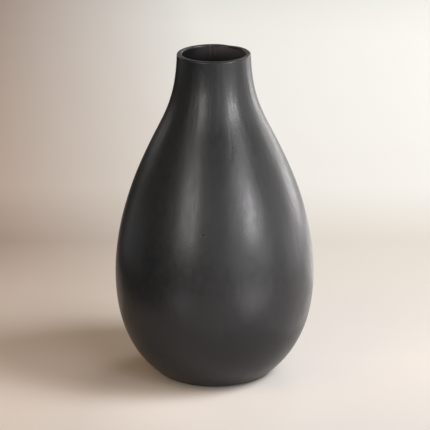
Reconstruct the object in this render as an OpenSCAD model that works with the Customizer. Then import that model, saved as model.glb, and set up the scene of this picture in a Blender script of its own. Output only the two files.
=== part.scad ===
// Tall black clay vase (barro negro), built by hand from a base bowl and rings of clay.
// Each ring laps down the inside of the one below it in a bevelled scarf joint.
// Millimetres, +Z up. The origin is the centre of the foot, on the surface the vase stands on.

/* [Outline] */
// Height from the foot to the top of the lip
height = 305; // [296:1:320]
// Diameter of the widest part of the belly
belly_d = 185; // [176:0.2:192]
// Height of the widest part of the belly
belly_z = 95.5; // [88:0.5:104]
// Diameter of the flat under the foot, where its rounded edge starts
foot_d = 97.2; // [88:0.2:106]
// Radius of the rounded edge round the foot
foot_round = 10.5; // [8:0.5:13]
// Height at which the shoulder stops bulging and starts to curve in
turn_z = 218; // [212:1:224]
// Diameter at that height
turn_d = 120; // [112:0.2:126]
// Slope of the wall at that height, in degrees above level
turn_slope = 64.3; // [60:0.1:69]
// Diameter across the outside of the lip
mouth_d = 67.4; // [62:0.2:72]

/* [Clay] */
// Thickness of the wall at the foot
foot_wall = 8; // [7:0.1:9]
// Thickness of the wall at the lip
lip_wall = 4.7; // [4:0.1:6]
// Thickness of the floor
floor_t = 9; // [8:0.5:11]
// Rise of the shallow hollow under the foot, which keeps the vase from rocking
foot_hollow = 1.5; // [0.5:0.1:2.5]
// Width of the flat ring that the vase stands on
foot_ring_w = 12; // [9:0.5:15]
// Height and depth of the rounding on the outside of the lip
lip_round = 1.6; // [1:0.1:2.4]

/* [Building] */
// Height of the seam round the top of the base bowl
base_seam_z = 84; // [76:1:92]
// Height of the lip coil above the highest seam
lip_coil_h = 14; // [12:0.5:18]
// Height that each scarf joint laps down the inside of the wall
lap = 10; // [7:0.5:12]

/* [Hidden] */

$fn = 96;
burnished_black = [0.2, 0.2, 0.21];

// Reach of the curves' handles on each side of the points that they join
foot_handle = 11.9;
belly_handle_below = 62.6;
belly_handle_above = 52.1;
turn_handle_below = 26.2;
turn_handle_above = 30;
lip_handle = 43;

// The foot's edge turns up this far before the belly's curve takes over
foot_sweep = 44;
// The neck still leans in by this much at the lip
lip_lean = 1.8;
// Rounding on the inside of the lip
lip_inner_round = 1.4;
// The inside of the floor is flat out to this radius, then sweeps up into the wall at this height
floor_flat_r = 22;
floor_sweep_z = 46;
floor_handle = 24;

// Steps along each stretch of the outline
ring_steps = 10;
bowl_steps = 22;
round_steps = 6;

// Five coils of even height stand between the base bowl and the lip coil
coil_count = 5;
lip_seam_z = height - lip_coil_h;
function seam_z(i) = base_seam_z + i * (lip_seam_z - base_seam_z) / coil_count;

// A point on the outline is [radius, height]
function leaning(slope) = [-cos(slope), sin(slope)];
foot_edge = [foot_d / 2, 0] + foot_round * [sin(foot_sweep), 1 - cos(foot_sweep)];
foot_dir = [cos(foot_sweep), sin(foot_sweep)];
belly = [belly_d / 2, belly_z];
turn = [turn_d / 2, turn_z];
turn_dir = leaning(turn_slope);
lip = [mouth_d / 2, height - lip_round];
lip_dir = leaning(90 - lip_lean);

// The outline is three curves, each with two end points and two handles
curves = [
    [foot_edge, foot_edge + foot_handle * foot_dir, belly - [0, belly_handle_below], belly],
    [belly, belly + [0, belly_handle_above], turn - turn_handle_below * turn_dir, turn],
    [turn, turn + turn_handle_above * turn_dir, lip - lip_handle * lip_dir, lip]
];
outline_end = len(curves);

function mix(a, b, t) = a * (1 - t) + b * t;
function bezier(p, t) = mix(
    mix(mix(p[0], p[1], t), mix(p[1], p[2], t), t),
    mix(mix(p[1], p[2], t), mix(p[2], p[3], t), t),
    t
);
function bezier_dir(p, t) =
    let (d = mix(mix(p[1] - p[0], p[2] - p[1], t), mix(p[2] - p[1], p[3] - p[2], t), t))
    d / norm(d);

// Place u along the outline: its whole part picks the curve, from 0 at the foot to 3 at the lip
function curve_at(u) = min(floor(u), outline_end - 1);
function outer(u) = bezier(curves[curve_at(u)], u - curve_at(u));
function uphill(u) = bezier_dir(curves[curve_at(u)], u - curve_at(u));
function wall_at(z) = mix(foot_wall, lip_wall, z / height);
function inner(u) =
    let (p = outer(u), d = uphill(u))
    p + wall_at(p[1]) * [-d[1], d[0]];

// The place u at which the outside of the wall reaches height z, found by halving
function place(z, low = 0, high = outline_end, tries = 30) =
    let (middle = (low + high) / 2)
    tries == 0 ? middle
    : outer(middle)[1] < z ? place(z, middle, high, tries - 1)
    : place(z, low, middle, tries - 1);

// Points up the outside, and back down the inside, between two places
function up_outside(a, b, steps) = [for (i = [0:steps]) outer(mix(a, b, i / steps))];
function down_inside(a, b, steps) = [for (i = [steps:-1:0]) inner(mix(a, b, i / steps))];

// A seam leaves the inside of the wall lower than the outside by the lap
function outer_seam(i) = place(seam_z(i));
function inner_seam(i) = place(seam_z(i) - lap);

// A ring of clay between two seams, with a bevel at each edge
module coil(i) {
    color(burnished_black)
    rotate_extrude()
    polygon(concat(
        up_outside(outer_seam(i), outer_seam(i + 1), ring_steps),
        down_inside(inner_seam(i), inner_seam(i + 1), ring_steps)
    ));
}

// The floor and the lower wall, hollowed from one lump of clay
module base_bowl() {
    ring_inner_r = foot_d / 2 - foot_ring_w;
    sweep_u = place(floor_sweep_z);
    sweep = [
        [floor_flat_r, floor_t],
        [floor_flat_r + floor_handle, floor_t],
        inner(sweep_u) - floor_handle * uphill(sweep_u),
        inner(sweep_u)
    ];
    color(burnished_black)
    rotate_extrude()
    polygon(concat(
        [for (i = [0:round_steps]) let (t = i / round_steps) [ring_inner_r * t, foot_hollow * (1 - t * t)]],
        [for (i = [0:round_steps - 1]) let (a = foot_sweep * i / round_steps)
            [foot_d / 2, 0] + foot_round * [sin(a), 1 - cos(a)]],
        up_outside(0, outer_seam(0), bowl_steps),
        down_inside(sweep_u, inner_seam(0), ring_steps),
        [for (i = [ring_steps - 1:-1:0]) bezier(sweep, i / ring_steps)],
        [[0, floor_t]]
    ));
}

module lower_belly_coil() { coil(0); }
module upper_belly_coil() { coil(1); }
module lower_shoulder_coil() { coil(2); }
module upper_shoulder_coil() { coil(3); }
module neck_coil() { coil(4); }

// The last coil, rounded over outside and eased inside
module lip_coil() {
    inside_r = inner(outline_end)[0];
    color(burnished_black)
    rotate_extrude()
    polygon(concat(
        up_outside(outer_seam(coil_count), outline_end, ring_steps),
        [for (i = [1:round_steps]) let (a = 90 * i / round_steps)
            lip + lip_round * [cos(a) - 1, sin(a)]],
        [for (i = [0:round_steps]) let (a = 90 * i / round_steps)
            [inside_r, height] + lip_inner_round * [1 - sin(a), cos(a) - 1]],
        down_inside(inner_seam(coil_count), outline_end, ring_steps)
    ));
}

base_bowl();
lower_belly_coil();
upper_belly_coil();
lower_shoulder_coil();
upper_shoulder_coil();
neck_coil();
lip_coil();
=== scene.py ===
"""Looks of a tall black clay vase, hand-built and burnished, on a pale floor.

The vase is seven pieces of clay: a base bowl, five coils and a lip coil. Each visual piece stands for
the CAD node of the same name. All of them are cut from one continuous surface, so that the shading
runs over the seams as it does on a scraped and burnished pot.
"""

import math

import bpy
import numpy as np
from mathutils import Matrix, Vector


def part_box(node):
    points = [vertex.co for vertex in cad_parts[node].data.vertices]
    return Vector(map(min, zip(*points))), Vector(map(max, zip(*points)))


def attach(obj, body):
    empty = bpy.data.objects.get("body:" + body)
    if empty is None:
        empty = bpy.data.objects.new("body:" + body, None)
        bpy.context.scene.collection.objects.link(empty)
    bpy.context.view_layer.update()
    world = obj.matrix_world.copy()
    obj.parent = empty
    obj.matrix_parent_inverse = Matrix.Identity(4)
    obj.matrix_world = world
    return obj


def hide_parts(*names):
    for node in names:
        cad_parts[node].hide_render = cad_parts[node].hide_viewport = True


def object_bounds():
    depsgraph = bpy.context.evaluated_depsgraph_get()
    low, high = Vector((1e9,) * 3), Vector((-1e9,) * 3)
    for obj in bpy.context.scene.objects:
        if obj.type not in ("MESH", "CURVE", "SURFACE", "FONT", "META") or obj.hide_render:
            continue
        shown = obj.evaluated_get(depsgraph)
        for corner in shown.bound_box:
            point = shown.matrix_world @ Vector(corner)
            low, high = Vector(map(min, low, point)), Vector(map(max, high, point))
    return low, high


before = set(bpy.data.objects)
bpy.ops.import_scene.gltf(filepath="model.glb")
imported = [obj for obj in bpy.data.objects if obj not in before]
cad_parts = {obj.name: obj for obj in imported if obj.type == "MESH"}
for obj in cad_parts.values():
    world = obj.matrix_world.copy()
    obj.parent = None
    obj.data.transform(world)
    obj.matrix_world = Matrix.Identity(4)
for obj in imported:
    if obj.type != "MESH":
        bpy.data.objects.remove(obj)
cad_low, cad_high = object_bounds()

MM = 0.001

# ---------------------------------------------------------------- the outline, as in the design
HEIGHT = cad_high.z - cad_low.z
BELLY_R = (cad_high.x - cad_low.x) / 2
BELLY_Z = 95.5 * MM
FOOT_R = 48.6 * MM
FOOT_ROUND = 10.5 * MM
FOOT_SWEEP = math.radians(44)
TURN_R = 60.0 * MM
TURN_Z = 218 * MM
TURN_SLOPE = math.radians(64.3)
LIP_R = 33.7 * MM
LIP_LEAN = math.radians(1.8)
LIP_ROUND = 1.6 * MM
LIP_INNER_ROUND = 1.4 * MM
# How far the outline's curves keep to the wall's direction at each end
FOOT_HANDLE = 11.9 * MM
BELLY_LOWER_HANDLE = 62.6 * MM
BELLY_UPPER_HANDLE = 52.1 * MM
TURN_LOWER_HANDLE = 26.2 * MM
TURN_UPPER_HANDLE = 30 * MM
LIP_HANDLE = 43 * MM

# The wall's thickness at the foot and the lip, the floor inside, the underside, and the joints' lap
FOOT_WALL = 8 * MM
LIP_WALL = 4.7 * MM
FLOOR = 9 * MM
FLOOR_FLAT_R = 22 * MM
FLOOR_HANDLE = 24 * MM
FLOOR_SWEEP_Z = 46 * MM
FOOT_RING = 12 * MM
FOOT_HOLLOW = 1.5 * MM
LAP = 10 * MM

# A section point is (radius, height)
RISE = np.array([0.0, 1.0])


def uphill(angle):
    """The uphill direction of a wall that leans in, at this angle above level."""
    return np.array([-math.cos(angle), math.sin(angle)])


FOOT_DIR = np.array([math.cos(FOOT_SWEEP), math.sin(FOOT_SWEEP)])
FOOT_EDGE = np.array([
    FOOT_R + FOOT_ROUND * math.sin(FOOT_SWEEP),
    FOOT_ROUND * (1 - math.cos(FOOT_SWEEP)),
])
BELLY = np.array([BELLY_R, BELLY_Z])
TURN = np.array([TURN_R, TURN_Z])
TURN_DIR = uphill(TURN_SLOPE)
LIP = np.array([LIP_R, HEIGHT - LIP_ROUND])
LIP_DIR = uphill(math.pi / 2 - LIP_LEAN)
CURVES = [
    [FOOT_EDGE, FOOT_EDGE + FOOT_HANDLE * FOOT_DIR, BELLY - BELLY_LOWER_HANDLE * RISE, BELLY],
    [BELLY, BELLY + BELLY_UPPER_HANDLE * RISE, TURN - TURN_LOWER_HANDLE * TURN_DIR, TURN],
    [TURN, TURN + TURN_UPPER_HANDLE * TURN_DIR, LIP - LIP_HANDLE * LIP_DIR, LIP],
]
LIP_PLACE = len(CURVES)


def bezier(p, t):
    """The points at t, from 0 to 1, of the curve with these four control points."""
    t = np.asarray(t, float)[..., None]
    return (1 - t) ** 3 * p[0] + 3 * t * (1 - t) ** 2 * p[1] + 3 * t * t * (1 - t) * p[2] + t**3 * p[3]


def bezier_dir(p, t):
    """The curve's direction at t."""
    t = np.asarray(t, float)[..., None]
    d = (1 - t) ** 2 * (p[1] - p[0]) + 2 * t * (1 - t) * (p[2] - p[1]) + t * t * (p[3] - p[2])
    return d / np.linalg.norm(d, axis=-1, keepdims=True)


def on_curves(u, evaluate):
    """evaluate(curve, t) at places u along the outline, from 0 at the foot to 3 at the lip."""
    u = np.asarray(u, float)
    out = np.zeros(u.shape + (2,))
    part = np.clip(np.floor(u).astype(int), 0, len(CURVES) - 1)
    for i, curve in enumerate(CURVES):
        here = part == i
        out[here] = evaluate(curve, u[here] - i)
    return out


def outward(u):
    """The wall's outward direction at places u."""
    d = on_curves(u, bezier_dir)
    return np.stack([d[..., 1], -d[..., 0]], -1)


def outer(u):
    """Points on the outside of the wall."""
    return on_curves(u, bezier)


def inner(u):
    """Points on the inside of the wall, which grows thinner from the foot to the lip."""
    p = outer(u)
    return p - (FOOT_WALL + (LIP_WALL - FOOT_WALL) * p[..., 1:] / HEIGHT) * outward(u)


STATION_COUNT = 6001
STATIONS = np.linspace(0, LIP_PLACE, STATION_COUNT)
STATION_Z = outer(STATIONS)[:, 1]


def place(z):
    """The place u at which the outside of the wall reaches height z."""
    return float(np.interp(z, STATION_Z, STATIONS))


# ---------------------------------------------------------------- what the hand left on it
def ease(x, low, high):
    """From 0 at low to 1 at high, and held beyond them."""
    t = np.clip((x - low) / (high - low), 0, 1)
    return t * t * (3 - 2 * t)


def near(angle, degrees, width):
    """1 along the meridian at this many degrees, fading over a width in degrees."""
    off = np.angle(np.exp(1j * (angle - math.radians(degrees))))
    return np.exp(-((off / math.radians(width)) ** 2))


def waves(seed, count, around, upward, size):
    """A smooth random field over angle and height that closes on itself, between -size and size:
    count waves, each with so many crests around and per metre of height."""
    rng = np.random.default_rng(seed)
    crests = rng.integers(around[0], around[1] + 1, count)
    rises = rng.uniform(upward[0], upward[1], count) * rng.choice([-1, 1], count)
    phases = rng.uniform(0, 2 * math.pi, count)
    shares = rng.uniform(0.5, 1, count)
    shares *= size / shares.sum()

    def field(angle, z):
        total = np.zeros(np.broadcast(angle, z).shape)
        for m, k, phase, share in zip(crests, rises, phases, shares):
            total += share * np.cos(m * angle + 2 * math.pi * k * z + phase)
        return total

    return field


# Each is (seed, how many waves, crests around, crests per metre of height, size)
out_of_round = waves(3, 5, (2, 3), (1, 4), 0.16 * MM)
scraping = waves(11, 26, (7, 22), (2, 9), 0.22 * MM)
paddling = waves(23, 26, (6, 16), (14, 30), 0.13 * MM)
inside_rings = waves(31, 18, (1, 5), (30, 75), 0.9 * MM)
inside_strokes = waves(41, 26, (9, 30), (3, 14), 0.7 * MM)
# The worked surface lies this far inside the true outline, which keeps it within the design's box
SET_BACK = 0.12 * MM
# The mouth is worked smoother than the rest, over these distances below the lip and by these shares
MOUTH_START = 50 * MM
MOUTH_FULL = 8 * MM
SMOOTHED_OUTSIDE = 0.6
SMOOTHED_INSIDE = 0.8
# Two ridges and a groove left by the scraper at the back inside the neck: (degrees round from the
# right, width in degrees, how far it stands inwards in mm)
SCRAPER_MARKS = [
    (99, 1.6, 0.3),
    (94, 1.8, -0.35),
    (89, 1.6, 0.25),
]
SCRAPER_MARKS_Z = (0.2, 0.24)
# The unevenness fades out over this height towards the foot, over these distances towards the axis,
# and, where it moves a point up or down, over this height towards the ground
FOOT_FADE = 25 * MM
AXIS_FADE = (2 * MM, 25 * MM)
GROUND_FADE = 4 * MM
# How far the foot and the neck stand to the left of the belly, and at what heights they move there
FOOT_SHIFT = 0.3 * MM
FOOT_SHIFT_TOP = 0.09
NECK_SHIFT = 0.8 * MM
NECK_SHIFT_Z = (0.13, 0.27)
# The lip's low spot and its tilt, placed in degrees round from the right, and how far below the lip
# they reach
LOW_SPOT_DIP = 0.5 * MM
LOW_SPOT_AT = 62
LOW_SPOT_WIDTH = 13
TILT_DIP = 0.1 * MM
TILT_AT = 200
DIP_START = 24 * MM
DIP_FULL = 2 * MM


def unevenness(angle, z, outside):
    """How far the worked surface stands outward from true: outside is 1 on the outer face, 0 on the
    inner face, and between the two over the lip and the joints."""
    mouth = ease(z, HEIGHT - MOUTH_START, HEIGHT - MOUTH_FULL)
    out_marks = scraping(angle, z) + paddling(angle, z)
    in_marks = inside_rings(angle, z) + inside_strokes(angle, z)
    out = out_of_round(angle, z) + out_marks * (1 - SMOOTHED_OUTSIDE * mouth)
    ins = out_of_round(angle, z) + in_marks * (1 - SMOOTHED_INSIDE * mouth)
    scraper = sum(depth * near(angle, degrees, width) for degrees, width, depth in SCRAPER_MARKS)
    ins = ins - scraper * MM * ease(z, *SCRAPER_MARKS_Z)
    return outside * (out * ease(z, 0, FOOT_FADE) - SET_BACK) + (1 - outside) * ins


def axis_shift(z):
    """The neck stands a little to the left of the belly, and so does the foot."""
    foot = FOOT_SHIFT * (1 - ease(z, 0, FOOT_SHIFT_TOP))
    return -(foot + NECK_SHIFT * ease(z, *NECK_SHIFT_Z))


def rim_dip(angle, z):
    """The lip is low at the back right, and not quite level elsewhere."""
    low_spot = LOW_SPOT_DIP * near(angle, LOW_SPOT_AT, LOW_SPOT_WIDTH)
    tilt = TILT_DIP * (1 + np.cos(angle - math.radians(TILT_AT)))
    return (low_spot + tilt) * ease(z, HEIGHT - DIP_START, HEIGHT - DIP_FULL)


def shaped(section, angle):
    """The worked surface in space, from (point, outward direction, how far outside) and an angle."""
    p, out, outside = section
    z = p[:, 1:]
    move = unevenness(angle, z, outside[:, None]) * ease(p[:, :1], *AXIS_FADE)
    radius = p[:, :1] + out[:, :1] * move
    height = z + out[:, 1:] * move * ease(z, 0, GROUND_FADE) - rim_dip(angle, z)
    x = radius * np.cos(angle) + axis_shift(z)
    y = radius * np.sin(angle)
    return np.stack([x, y, height], -1)


# ---------------------------------------------------------------- stretches of a piece's section
# A stretch is followed from its first place to its last, and gives at each place a point of the
# section, the wall's outward direction there and how far outside it is. The stretches of a piece
# run anticlockwise round its section.
# The materials' places in the list that clay_piece is given
BURNISHED, SCRAPED, UNDERSIDE = range(3)
# Steps along the section are about this long, and a joint has this many
OUTSIDE_STEP = 1.8 * MM
INSIDE_STEP = 3.5 * MM
JOINT_STEPS = 4
DOWN = np.array([0.0, -1.0])
# The small move that normals are taken from, as a share of a stretch and in radians
NORMAL_STEP = 1e-3
TINY = 1e-16


def mix(ends, t):
    """From the first end at t = 0 to the second at t = 1."""
    return np.asarray(ends[0]) * (1 - t) + np.asarray(ends[1]) * t


class Stretch:
    """at(places) gives the stretch's (points, outward directions, how far outside)."""

    def __init__(self, at, first, last, steps, material):
        self.at = at
        self.places = np.linspace(first, last, steps + 1)
        self.material = material

    def rings(self, angle):
        """The worked surface at each place, all the way round."""
        return shaped(self.at(self.places), angle)

    def normals(self, angle):
        """The worked surface's normals, from small moves along and around it."""
        small = NORMAL_STEP * (self.places[-1] - self.places[0])
        after, before = self.at(self.places + small), self.at(self.places - small)
        along = shaped(after, angle) - shaped(before, angle)
        here = self.at(self.places)
        around = shaped(here, angle + NORMAL_STEP) - shaped(here, angle - NORMAL_STEP)
        n = np.cross(around, along)
        size = np.linalg.norm(n, axis=-1, keepdims=True)
        return n / np.maximum(size, TINY)


def between(points, outs, shares, steps, material):
    """A stretch along points(t) from t = 0 to 1. The outward direction goes from the first of outs to
    the second, and how far outside it is from the first of shares to the second."""

    def at(t):
        return points(t), mix(outs, t[:, None]), mix(shares, t)

    return Stretch(at, 0, 1, steps, material)


def up_outside(a, b):
    """The outside of the wall, from place a up to place b."""
    steps = round(float(np.linalg.norm(outer(b) - outer(a))) / OUTSIDE_STEP)
    return Stretch(lambda u: (outer(u), outward(u), np.ones(len(u))), a, b, steps, BURNISHED)


def down_inside(b, a):
    """The inside of the wall, from place b down to place a."""
    steps = round(float(np.linalg.norm(inner(b) - inner(a))) / INSIDE_STEP)
    return Stretch(lambda u: (inner(u), outward(u), np.zeros(len(u))), b, a, steps, SCRAPED)


def straight(start, end):
    """Points on a straight line, for between."""
    return lambda t: mix((start, end), t[:, None])


def arc(centre, radius, start, end):
    """Points on an arc that goes from one angle to another, in degrees, for between."""

    def points(t):
        a = np.radians(mix((start, end), t))
        return np.asarray(centre) + radius * np.stack([np.cos(a), np.sin(a)], -1)

    return points


def joint_inwards(seam):
    """The joint at a piece's top, from the outside to the inside of the wall."""
    u_out, u_in = seam
    outs = outward(u_out), outward(u_in)
    return between(straight(outer(u_out), inner(u_in)), outs, (1, 0), JOINT_STEPS, SCRAPED)


def joint_outwards(seam):
    """The joint at a piece's bottom, from the inside to the outside of the wall."""
    u_out, u_in = seam
    outs = outward(u_in), outward(u_out)
    return between(straight(inner(u_in), outer(u_out)), outs, (0, 1), JOINT_STEPS, SCRAPED)


# ---------------------------------------------------------------- the seven sections
# The outer seams are where the CAD nodes end, and each joint reaches lower on the inside by the lap.
COILS = [
    "lower_belly_coil",
    "upper_belly_coil",
    "lower_shoulder_coil",
    "upper_shoulder_coil",
    "neck_coil",
]
BELOW_LIP = ["base_bowl"] + COILS
seams = []
for node in BELOW_LIP:
    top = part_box(node)[1].z
    seams.append((place(top), place(top - LAP)))


def base_section():
    """The base bowl: its hollowed underside and foot ring, its wall, and the curve into its floor."""
    ring_r = FOOT_R - FOOT_RING
    sweep_u = place(FLOOR_SWEEP_Z)
    sweep_end = inner(sweep_u)
    sweep_dir = on_curves(sweep_u, bezier_dir)
    sweep = [
        sweep_end,
        sweep_end - FLOOR_HANDLE * sweep_dir,
        np.array([FLOOR_FLAT_R + FLOOR_HANDLE, FLOOR]),
        np.array([FLOOR_FLAT_R, FLOOR]),
    ]

    def hollow(t):
        return np.stack([ring_r * t, FOOT_HOLLOW * (1 - t * t)], -1)

    def floor_curve(t):
        return bezier(sweep, t)

    ring = straight([ring_r, 0], [FOOT_R, 0])
    foot_curve = arc([FOOT_R, FOOT_ROUND], FOOT_ROUND, -90, math.degrees(FOOT_SWEEP) - 90)
    flat_floor = straight([FLOOR_FLAT_R, FLOOR], [0, FLOOR])
    return [
        between(hollow, (DOWN, DOWN), (1, 1), 10, UNDERSIDE),
        between(ring, (DOWN, DOWN), (1, 1), 6, UNDERSIDE),
        between(foot_curve, (DOWN, outward(0)), (1, 1), 10, BURNISHED),
        up_outside(0, seams[0][0]),
        joint_inwards(seams[0]),
        down_inside(seams[0][1], sweep_u),
        between(floor_curve, (outward(sweep_u), DOWN), (0, 0), 20, SCRAPED),
        between(flat_floor, (DOWN, DOWN), (0, 0), 8, SCRAPED),
    ]


def coil_section(lower, upper):
    """A coil between the joint below it and the joint above it."""
    return [
        up_outside(lower[0], upper[0]),
        joint_inwards(upper),
        down_inside(upper[1], lower[1]),
        joint_outwards(lower),
    ]


def lip_section(lower):
    """The lip coil: a wall up to a rounded, nearly flat top."""
    wall_out = outward(LIP_PLACE)
    inside_r = inner(LIP_PLACE)[0]
    outer_centre = LIP - [LIP_ROUND, 0]
    inner_centre = [inside_r + LIP_INNER_ROUND, HEIGHT - LIP_INNER_ROUND]
    top_start = [outer_centre[0], HEIGHT]
    top_end = [inner_centre[0], HEIGHT]
    inner_edge = [inside_r, inner_centre[1]]
    outs = wall_out, wall_out
    return [
        up_outside(lower[0], LIP_PLACE),
        between(arc(outer_centre, LIP_ROUND, 0, 90), outs, (1, 0.5), 10, BURNISHED),
        between(straight(top_start, top_end), outs, (0.5, 0.5), 3, BURNISHED),
        between(arc(inner_centre, LIP_INNER_ROUND, 90, 180), outs, (0.5, 0), 6, BURNISHED),
        between(straight(inner_edge, inner(LIP_PLACE)), outs, (0, 0), 2, BURNISHED),
        down_inside(LIP_PLACE, lower[1]),
        joint_outwards(lower),
    ]


# ---------------------------------------------------------------- meshes
AROUND = 288
ANGLES = np.linspace(0, 2 * math.pi, AROUND, endpoint=False)[None, :]
# A ring smaller than this closes to a point
POLE = 1e-6


def is_pole(ring):
    """Whether a ring closes to a point on the axis."""
    return np.ptp(ring, axis=0).max() < POLE


def clay_piece(name, stretches, materials):
    """A closed mesh turned from the stretches of a section, with the worked surface's own normals."""
    vertices, faces, kinds, corner_normals = [], [], [], []

    def add_ring(ring):
        """Adds a ring's vertices, or the one vertex of a pole, and gives the vertex at each angle."""
        start = sum(len(v) for v in vertices)
        vertices.append(ring[:1] if is_pole(ring) else ring)
        return start + np.arange(AROUND) % len(vertices[-1])

    first = above = add_ring(stretches[0].rings(ANGLES)[0])
    for stretch in stretches:
        rings = stretch.rings(ANGLES)
        normals = stretch.normals(ANGLES)
        for j in range(1, len(rings)):
            below = above
            closes = stretch is stretches[-1] and j == len(rings) - 1 and not is_pole(rings[j])
            above = first if closes else add_ring(rings[j])
            corners = [below, np.roll(below, -1), np.roll(above, -1), above]
            directions = [
                normals[j - 1],
                np.roll(normals[j - 1], -1, axis=0),
                np.roll(normals[j], -1, axis=0),
                normals[j],
            ]
            used = [0, 1, 2, 3]
            if is_pole(rings[j - 1]):
                used = [0, 2, 3]
            if is_pole(rings[j]):
                used = [0, 1, 2]
            faces += np.stack([corners[c] for c in used], 1).tolist()
            corner_normals.append(np.stack([directions[c] for c in used], 1).reshape(-1, 3))
            kinds += [stretch.material] * AROUND

    mesh = bpy.data.meshes.new(name)
    mesh.from_pydata(np.vstack(vertices).tolist(), [], faces)
    slots = sorted(set(kinds))
    for kind in slots:
        mesh.materials.append(materials[kind])
    mesh.polygons.foreach_set("material_index", [slots.index(kind) for kind in kinds])
    mesh.polygons.foreach_set("use_smooth", [True] * len(kinds))
    mesh.normals_split_custom_set(np.vstack(corner_normals).tolist())
    mesh.update()
    piece = bpy.data.objects.new(name, mesh)
    bpy.context.scene.collection.objects.link(piece)
    return piece


# ---------------------------------------------------------------- materials
def new_material(name):
    """A material, its node tree and its Principled shader."""
    material = bpy.data.materials.new(name)
    material.use_nodes = True
    tree = material.node_tree
    return material, tree, tree.nodes["Principled BSDF"]


def add(tree, kind, inputs=None, **settings):
    """A node with its settings, and its inputs given as values or as sockets to link from."""
    node = tree.nodes.new("ShaderNode" + kind)
    for key, value in settings.items():
        setattr(node, key, value)
    for key, value in (inputs or {}).items():
        if isinstance(value, bpy.types.NodeSocket):
            tree.links.new(value, node.inputs[key])
        else:
            node.inputs[key].default_value = value
    return node


def own_place(tree):
    """Positions in the pot's own frame."""
    return add(tree, "TexCoord").outputs["Object"]


# The radius of the tube that the wall is wrapped on
TUBE_R = 70 * MM


def wall_place(tree, up):
    """Positions as if the wall were wrapped on a tube, so that marks run straight up it or level
    round it: up is how many times longer a mark is up the wall than round it."""
    level = {0: own_place(tree), 1: (1, 1, 0)}
    around = add(tree, "VectorMath", level, operation="MULTIPLY").outputs[0]
    unit = add(tree, "VectorMath", {0: around}, operation="NORMALIZE").outputs[0]
    upright = {0: own_place(tree), 1: (0, 0, 1 / up)}
    rise = add(tree, "VectorMath", upright, operation="MULTIPLY").outputs[0]
    wrapped = {0: unit, 1: (TUBE_R, TUBE_R, 0), 2: rise}
    return add(tree, "VectorMath", wrapped, operation="MULTIPLY_ADD").outputs[0]


def noise(tree, size, where=None, detail=2, distortion=0):
    """Noise with features of about this size, from 0 to 1."""
    inputs = {
        "Vector": where or own_place(tree),
        "Scale": 1 / size,
        "Detail": detail,
        "Distortion": distortion,
    }
    return add(tree, "TexNoise", inputs).outputs["Fac"]


def creases(tree, field):
    """Turns a smooth field into flats that meet in sharp creases."""
    off = add(tree, "Math", {0: field, 1: 0.5}, operation="SUBTRACT").outputs[0]
    return add(tree, "Math", {0: off}, operation="ABSOLUTE").outputs[0]


def spot(tree, centre, radius, where=None):
    """1 at a point, falling to 0 at this distance from it."""
    inputs = {0: where or own_place(tree), 1: centre}
    away = add(tree, "VectorMath", inputs, operation="DISTANCE").outputs["Value"]
    return spread(tree, away, (0, radius), (1, 0))


def spread(tree, value, source, result):
    """value taken from the source range to the result range, and held at its ends."""
    inputs = {
        "Value": value,
        "From Min": source[0],
        "From Max": source[1],
        "To Min": result[0],
        "To Max": result[1],
    }
    return add(tree, "MapRange", inputs).outputs["Result"]


def blend(tree, share, first, second, **settings):
    """The first tone where the share is 0, and the second, mixed with the first as the settings say,
    where it is 1."""
    return add(tree, "Mix", {0: share, 6: first, 7: second}, data_type="RGBA", **settings).outputs[2]


def two_tones(tree, value, tones):
    """From the dark tone at 0 to the light one at 1."""
    dark, light = tones
    return blend(tree, value, (*dark, 1), (*light, 1))


def times(tree, tone, other):
    """One tone multiplied by another."""
    return blend(tree, 1.0, tone, other, blend_type="MULTIPLY")


def tones_through(tree, value, stops):
    """The tone at a value from 0 to 1, through stops of (value, tone)."""
    node = add(tree, "ValToRGB", {"Fac": value})
    elements = node.color_ramp.elements
    elements.remove(elements[1])
    elements[0].position = stops[0][0]
    elements[0].color = (*stops[0][1], 1)
    for position, tone in stops[1:]:
        elements.new(position).color = (*tone, 1)
    return node.outputs["Color"]


def bump(tree, height, distance, normal=None):
    """A normal for a surface raised by this distance where height is 1, on top of another normal."""
    inputs = {"Height": height, "Distance": distance, "Strength": 1}
    if normal is not None:
        inputs["Normal"] = normal
    return add(tree, "Bump", inputs).outputs["Normal"]


def on_wall(degrees, z):
    """The point on the outside at so many degrees to the right of the front, at height z."""
    r = outer(place(z))[0]
    a = math.radians(degrees)
    return (r * math.sin(a), -r * math.cos(a), z)


# Single upright marks of the burnishing stone: (degrees to the right of the front, height, depth)
BURNISHING_MARKS = [
    (-15.0, 201 * MM, 0.10 * MM),
    (-13.2, 186 * MM, 0.05 * MM),
    (39.0, 126 * MM, 0.04 * MM),
]
# How many times longer than wide they are, and half their width
MARK_STRETCH = 12
MARK_R = 1.3 * MM
# The one small pit: degrees to the right of the front, height, radius, depth
PIT_AT = -7
PIT_Z = 157.8 * MM
PIT_R = 2.2 * MM
PIT_DEPTH = 0.7 * MM
# The size and depth of each other kind of mark
FLATS_SIZE = 12 * MM
FLATS_DEPTH = 0.25 * MM
STROKES_SIZE = 4 * MM
STROKES_DEPTH = 0.03 * MM
RUBBING_SIZE = 2.4 * MM
RUBBING_DEPTH = 0.035 * MM
GRAIN_SIZE = 1.8 * MM
GRAIN_DEPTH = 0.032 * MM
SCRAPED_GRAIN_SIZE = 1.5 * MM
UNDERSIDE_GRAIN_SIZE = 1.2 * MM
ROUGH_DEPTH = 0.15 * MM
# Tones are (dark, light)
BURNISHED_TONES = (0.0085, 0.0085, 0.009), (0.0115, 0.0115, 0.012)
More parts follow.
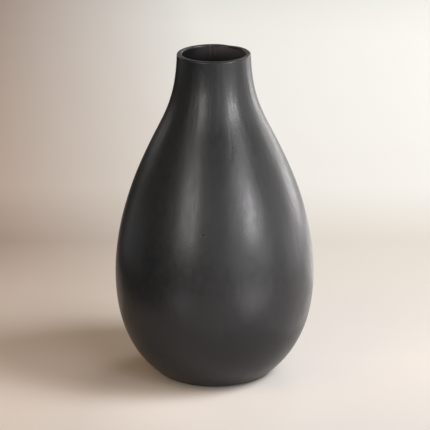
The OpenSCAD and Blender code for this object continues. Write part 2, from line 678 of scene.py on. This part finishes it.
# The roughness between strokes and on them, and the range that most of a noise lies in
BURNISHED_ROUGHNESS = (0.28, 0.35)
NOISE_SPAN = (0.3, 0.7)
INSIDE_TONES = (0.003, 0.003, 0.003), (0.006, 0.006, 0.006)
# Painted light on the inside of the mouth, lighter and browner than the black
MOUTH_PAINTED_LIGHT_TONES = (0.030, 0.0255, 0.0245), (0.050, 0.043, 0.041)
UNDERSIDE_TONES = (0.02, 0.019, 0.018), (0.05, 0.047, 0.045)
# Where light is painted on the inside, lighter and browner: from left to right, and up to the lip
MOUTH_PAINTED_LIGHT_X = (-20 * MM, 15 * MM)
MOUTH_PAINTED_LIGHT_Z = (HEIGHT - 20 * MM, HEIGHT - 3 * MM)


def upright_mark(tree, angle, z):
    """A narrow upright hollow left by one stroke of the stone."""
    turn = math.radians(angle)
    centre = (TUBE_R * math.sin(turn), -TUBE_R * math.cos(turn), z / MARK_STRETCH)
    return spot(tree, centre, MARK_R, wall_place(tree, MARK_STRETCH))


def burnished_clay():
    """Black clay rubbed with a stone: a low gloss in flats and strokes that run up the wall, crossed
    by fine rubbing marks, with a fine grain and one small pit."""
    material, tree, surface = new_material("burnished_black_clay")
    lumps = noise(tree, FLATS_SIZE, wall_place(tree, up=3), detail=0, distortion=0.3)
    flats = creases(tree, lumps)
    strokes = noise(tree, STROKES_SIZE, wall_place(tree, up=2), detail=2)
    rubbing = noise(tree, RUBBING_SIZE, wall_place(tree, up=0.35), detail=1)
    grain = noise(tree, GRAIN_SIZE, detail=1)
    pit = spot(tree, on_wall(PIT_AT, PIT_Z), PIT_R)

    normal = bump(tree, flats, FLATS_DEPTH)
    normal = bump(tree, strokes, STROKES_DEPTH, normal)
    normal = bump(tree, rubbing, RUBBING_DEPTH, normal)
    normal = bump(tree, grain, GRAIN_DEPTH, normal)
    for angle, z, depth in BURNISHING_MARKS:
        normal = bump(tree, upright_mark(tree, angle, z), -depth, normal)
    normal = bump(tree, pit, -PIT_DEPTH, normal)
    tree.links.new(normal, surface.inputs["Normal"])

    tree.links.new(two_tones(tree, strokes, BURNISHED_TONES), surface.inputs["Base Color"])
    roughness = spread(tree, strokes, NOISE_SPAN, BURNISHED_ROUGHNESS)
    tree.links.new(roughness, surface.inputs["Roughness"])
    surface.inputs["Specular IOR Level"].default_value = 0.25
    return material


def scraped_clay():
    """The inside, scraped and never burnished, with painted light that makes it lighter and browner at
    the right of the mouth, near the lip.
    """
    material, tree, surface = new_material("scraped_black_clay")
    grain = noise(tree, SCRAPED_GRAIN_SIZE, detail=4)
    black = two_tones(tree, grain, INSIDE_TONES)
    # Painted light at the right of the mouth, near the lip
    mouth_painted_light = two_tones(tree, grain, MOUTH_PAINTED_LIGHT_TONES)
    parts = add(tree, "SeparateXYZ", {0: own_place(tree)})
    to_the_right = spread(tree, parts.outputs["X"], MOUTH_PAINTED_LIGHT_X, (0, 1))
    near_the_lip = spread(tree, parts.outputs["Z"], MOUTH_PAINTED_LIGHT_Z, (0, 1))
    inputs = {0: to_the_right, 1: near_the_lip}
    share = add(tree, "Math", inputs, operation="MULTIPLY").outputs[0]
    tree.links.new(blend(tree, share, black, mouth_painted_light), surface.inputs["Base Color"])
    surface.inputs["Roughness"].default_value = 0.42
    surface.inputs["Specular IOR Level"].default_value = 0.16
    tree.links.new(bump(tree, grain, ROUGH_DEPTH), surface.inputs["Normal"])
    return material


def underside_clay():
    """The underside, left matt and rubbed paler where it stands."""
    material, tree, surface = new_material("underside_black_clay")
    grain = noise(tree, UNDERSIDE_GRAIN_SIZE, detail=4)
    tree.links.new(two_tones(tree, grain, UNDERSIDE_TONES), surface.inputs["Base Color"])
    surface.inputs["Roughness"].default_value = 0.7
    tree.links.new(bump(tree, grain, ROUGH_DEPTH), surface.inputs["Normal"])
    return material


# The paper's tones from front to back along the left and the right of the view: (distance behind the
# pot in metres, tone). They hold painted light and shade: the left is painted darker and warmer, the
# right paler, and both are darkest some way behind the pot, a painted shade as where a hanging sheet
# turns up.
PAPER_LEFT_PAINTED_SHADE = [
    (-0.15, (0.74, 0.66, 0.59)),
    (0.02, (0.78, 0.67, 0.60)),
    (0.12, (0.71, 0.61, 0.535)),
    (0.36, (0.41, 0.32, 0.27)),
    (0.55, (0.54, 0.45, 0.39)),
    (1.3, (0.53, 0.44, 0.395)),
]
PAPER_RIGHT_PAINTED_LIGHT = [
    (-0.15, (0.75, 0.725, 0.70)),
    (0.02, (0.86, 0.81, 0.76)),
    (0.12, (0.825, 0.78, 0.73)),
    (0.36, (0.74, 0.715, 0.66)),
    (0.55, (0.87, 0.88, 0.86)),
    (1.3, (0.96, 1.0, 1.0)),
]
# The tones are held in front of and behind these distances
PAPER_ENDS = (-0.2, 1.4)
# The left edge of the view moves this far to the left for each metre farther back
VIEW_SPREAD = 0.084
# Beside the pot, where the left tones end and the right tones begin, and where the black painted shade
# ends
PAPER_SIDES = (-0.2, 0.085)
PAINTED_SHADE_EDGE = (-0.27, -0.23)
# Black painted shade on the floor to the left of the pot, out of view, which darkens what the pot
# mirrors at its left
PAINTED_SHADE_BLACK = (0.02, 0.018, 0.016, 1)
CLOUD_SIZE = 0.14
CLOUD_TONES = (0.97, 0.97, 0.965), (1.0, 1.0, 1.0)


def paper_painted_light_and_shade():
    """Pale paper under and behind the pot, with painted light and shade in its tones, and black
    painted shade to its left, out of the camera's view.
    """
    material, tree, surface = new_material("paper_painted_light_and_shade")
    surface.inputs["Roughness"].default_value = 0.7
    surface.inputs["Specular IOR Level"].default_value = 0.3
    parts = add(tree, "SeparateXYZ", {0: own_place(tree)})
    inputs = {0: parts.outputs["Y"], 1: VIEW_SPREAD, 2: parts.outputs["X"]}
    across = add(tree, "Math", inputs, operation="MULTIPLY_ADD").outputs[0]
    back = spread(tree, parts.outputs["Y"], PAPER_ENDS, (0, 1))
    start, end = PAPER_ENDS
    sides = []
    # Painted light and shade: the left side darker and warmer, the right paler, with a band of painted
    # shade behind the pot
    for stops in (PAPER_LEFT_PAINTED_SHADE, PAPER_RIGHT_PAINTED_LIGHT):
        placed = [((at - start) / (end - start), tone) for at, tone in stops]
        sides.append(tones_through(tree, back, placed))
    paper = blend(tree, spread(tree, across, PAPER_SIDES, (0, 1)), *sides)
    clouds = noise(tree, CLOUD_SIZE, detail=3)
    paper = times(tree, paper, two_tones(tree, clouds, CLOUD_TONES))
    # Black painted shade out of view at the left, which the pot mirrors
    in_view = spread(tree, across, PAINTED_SHADE_EDGE, (0, 1))
    tree.links.new(blend(tree, in_view, PAINTED_SHADE_BLACK, paper), surface.inputs["Base Color"])
    return material


# ---------------------------------------------------------------- the pot
clay = [burnished_clay(), scraped_clay(), underside_clay()]
pot_only = bpy.data.collections.new("pot_only")
sections = {"base_bowl": base_section()}
for i, node in enumerate(COILS):
    sections[node] = coil_section(seams[i], seams[i + 1])
sections["lip_coil"] = lip_section(seams[-1])
for node, section in sections.items():
    piece = clay_piece("clay_" + node, section, clay)
    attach(piece, "root")
    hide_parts(node)
    pot_only.objects.link(piece)


# ---------------------------------------------------------------- floor, lights and camera
FLOOR_HALF = 8.0
floor_only = bpy.data.collections.new("floor_only")


def floor():
    """The level floor that the pot stands on."""
    mesh = bpy.data.meshes.new("floor")
    h = FLOOR_HALF
    mesh.from_pydata([(-h, -h, 0), (h, -h, 0), (h, h, 0), (-h, h, 0)], [], [(0, 1, 2, 3)])
    mesh.materials.append(paper_painted_light_and_shade())
    plane = bpy.data.objects.new("floor", mesh)
    bpy.context.scene.collection.objects.link(plane)
    floor_only.objects.link(plane)


AIM = Vector((0, 0, HEIGHT / 2))


def place_light(name, location, back, size, radiance, colour, reaches, blockers=None):
    """A soft box at a location, with its back to this direction. Where blockers is given, only the
    objects in that collection throw a shadow in it."""
    data = bpy.data.lights.new(name, "AREA")
    data.shape = "RECTANGLE"
    data.size, data.size_y = size
    data.energy = math.pi * size[0] * size[1] * radiance
    data.color = colour
    light = bpy.data.objects.new(name, data)
    light.location = location
    light.rotation_euler = back.to_track_quat("Z", "Y").to_euler()
    light.visible_camera = False
    light.light_linking.receiver_collection = reaches
    light.light_linking.blocker_collection = blockers
    bpy.context.scene.collection.objects.link(light)


def soft_light(name, azimuth, elevation, distance, size, radiance, colour, reaches=None):
    """A soft box seen from the pot at this azimuth (0 behind the camera, positive to its right) and
    elevation in degrees, facing the pot. Its brightness is the radiance, whatever its size. Where
    reaches is given, it lights only the objects in that collection."""
    a, e = math.radians(azimuth), math.radians(elevation)
    towards = Vector((math.sin(a) * math.cos(e), -math.cos(a) * math.cos(e), math.sin(e)))
    place_light(name, AIM + towards * distance, towards, size, radiance, colour, reaches)


WARM = (1.0, 0.97, 0.92)
EVENING = (1.0, 0.93, 0.87)
NEUTRAL = (1.0, 0.98, 1.0)
DAYLIGHT = (0.86, 0.94, 1.0)
EMBER = (1.0, 0.5, 0.1)

# Soft boxes are (name, azimuth, elevation, distance, size, radiance, colour). These are what the pot
# mirrors.
POT_LIGHTS = [
    ("left_box", -32, 18.5, 2.5, (0.88, 1.15), 10.0, WARM),
    ("left_box_high", -46, 44, 2.5, (1.15, 1.06), 1.9, NEUTRAL),
    ("left_glow", -54, 18, 2.5, (0.79, 1.15), 0.8, NEUTRAL),
    ("left_back", -135, 20, 2.5, (1.34, 1.34), 0.9, NEUTRAL),
    ("front_glow", 4, 16, 2.5, (1.63, 1.63), 1.1, NEUTRAL),
    ("right_box", 49, 16.5, 2.5, (0.88, 0.57), 29.0, NEUTRAL),
    ("right_box_top", 42, 27, 2.5, (0.42, 0.42), 9.0, NEUTRAL),
    ("right_glow", 42, 16, 2.5, (2.02, 1.63), 2.3, NEUTRAL),
    ("right_side", 95, 10, 2.5, (2.33, 1.15), 2.0, NEUTRAL),
    ("right_rim", 133, 5, 2.5, (1.06, 0.61), 3.2, WARM),
    ("right_rim_back", 150, 5, 2.5, (0.70, 0.61), 4.1, NEUTRAL),
    ("right_rim_wide", 140, 18, 2.5, (2.33, 0.88), 1.15, NEUTRAL),
    ("low_front", 30, -1, 1.2, (0.44, 0.25), 1.6, NEUTRAL),
    ("low_right", 60, -1, 1.2, (0.44, 0.25), 2.7, NEUTRAL),
    ("low_rim", 130, -1, 1.4, (0.44, 0.25), 5.7, NEUTRAL),
    ("card_left", -108, -6, 0.60, (0.45, 0.20), 0.40, NEUTRAL),
    ("card_right", 100, -7, 0.55, (0.30, 0.16), 1.8, NEUTRAL),
    ("card_right_back", 118, -5, 0.75, (0.30, 0.16), 1.5, NEUTRAL),
    ("wall_glow", 180, 22, 2.6, (3.4, 1.1), 0.25, NEUTRAL),
]
# Pale paper just out of view, mirrored below the belly: (name, x, y, size, radiance)
PAPER_GLOWS = [
    ("paper_right", 0.28, 0.0, (0.30, 0.40), 0.5),
    ("paper_front", 0.0, -0.32, (0.30, 0.30), 0.4),
    ("paper_front_right", 0.28, -0.34, (0.26, 0.28), 4.8),
    ("paper_back_right", 0.32, 0.40, (0.34, 0.40), 1.4),
    ("paper_front_left", -0.215, -0.32, (0.15, 0.15), 2.2),
]
PAPER_GLOW_Z = 3 * MM
# Window light on the pot and the floor
ROOM_LIGHTS = [
    ("window", 79, 50, 2.5, (0.70, 0.61), 14.2, DAYLIGHT),
    ("window_low", 66, 42, 2.5, (0.70, 0.61), 14.0, NEUTRAL),
]
# Light on the floor just in front of the foot, in which the pot throws no shadow: (name, location,
# size, radiance)
FOOT_GLOWS = [
    ("foot_glow_wide", (-0.03, -0.11, 0.10), (0.08, 0.03), 2.9),
    ("foot_glow_near", (0.012, -0.07, 0.03), (0.07, 0.012), 1.4),
]
# More light on the floor alone
FLOOR_LIGHTS = [
    ("floor_window", 85, 45, 2.5, (0.70, 0.61), 11.0, NEUTRAL),
    ("floor_fill", 35, 42, 2.5, (1.34, 1.34), 2.3, NEUTRAL),
    ("floor_ember", -50, 45, 2.5, (1.34, 1.34), 1.3, EMBER),
]
# Evening light from above on the paper behind the pot: location, size, radiance
WASH_PLACE = (0.7, 1.3, 1.3)
WASH_SIZE = (0.9, 0.7)
WASH = 4.6
ROOM_SHADE = (0.20, 0.18, 0.15, 1)
FACING_DOWN = Vector((0, 0, 1))
FACING_UP = Vector((0, 0, -1))


def lights():
    """All the light but the world's."""
    for settings in POT_LIGHTS:
        soft_light(*settings, reaches=pot_only)
    for settings in ROOM_LIGHTS:
        soft_light(*settings)
    for settings in FLOOR_LIGHTS:
        soft_light(*settings, reaches=floor_only)
    for name, x, y, size, radiance in PAPER_GLOWS:
        place_light(name, (x, y, PAPER_GLOW_Z), FACING_UP, size, radiance, NEUTRAL, pot_only)
    place_light("wash", WASH_PLACE, FACING_DOWN, WASH_SIZE, WASH, EVENING, None)
    for name, location, size, radiance in FOOT_GLOWS:
        place_light(name, location, FACING_DOWN, size, radiance, WARM, floor_only, floor_only)


def world_light():
    """Faint light from all round."""
    world = bpy.data.worlds.new("room")
    world.use_nodes = True
    background = world.node_tree.nodes["Background"]
    background.inputs["Color"].default_value = ROOM_SHADE
    bpy.context.scene.world = world


CAMERA_RIGHT = 0.3 * MM
CAMERA_BACK = 7 * HEIGHT
CAMERA_UP = 0.868
CAMERA_PITCH = math.radians(18.58)
CAMERA_LENS = 204.0
SENSOR = 36


def camera():
    """The camera in front, looking a little down at the pot."""
    data = bpy.data.cameras.new("camera")
    data.lens = CAMERA_LENS
    data.sensor_width = SENSOR
    made = bpy.data.objects.new("camera", data)
    made.location = (CAMERA_RIGHT, -CAMERA_BACK, CAMERA_UP)
    made.rotation_euler = (math.pi / 2 - CAMERA_PITCH, 0, 0)
    bpy.context.scene.collection.objects.link(made)
    bpy.context.scene.camera = made


floor()
world_light()
lights()
camera()
bpy.context.scene.view_settings.view_transform = "Standard"
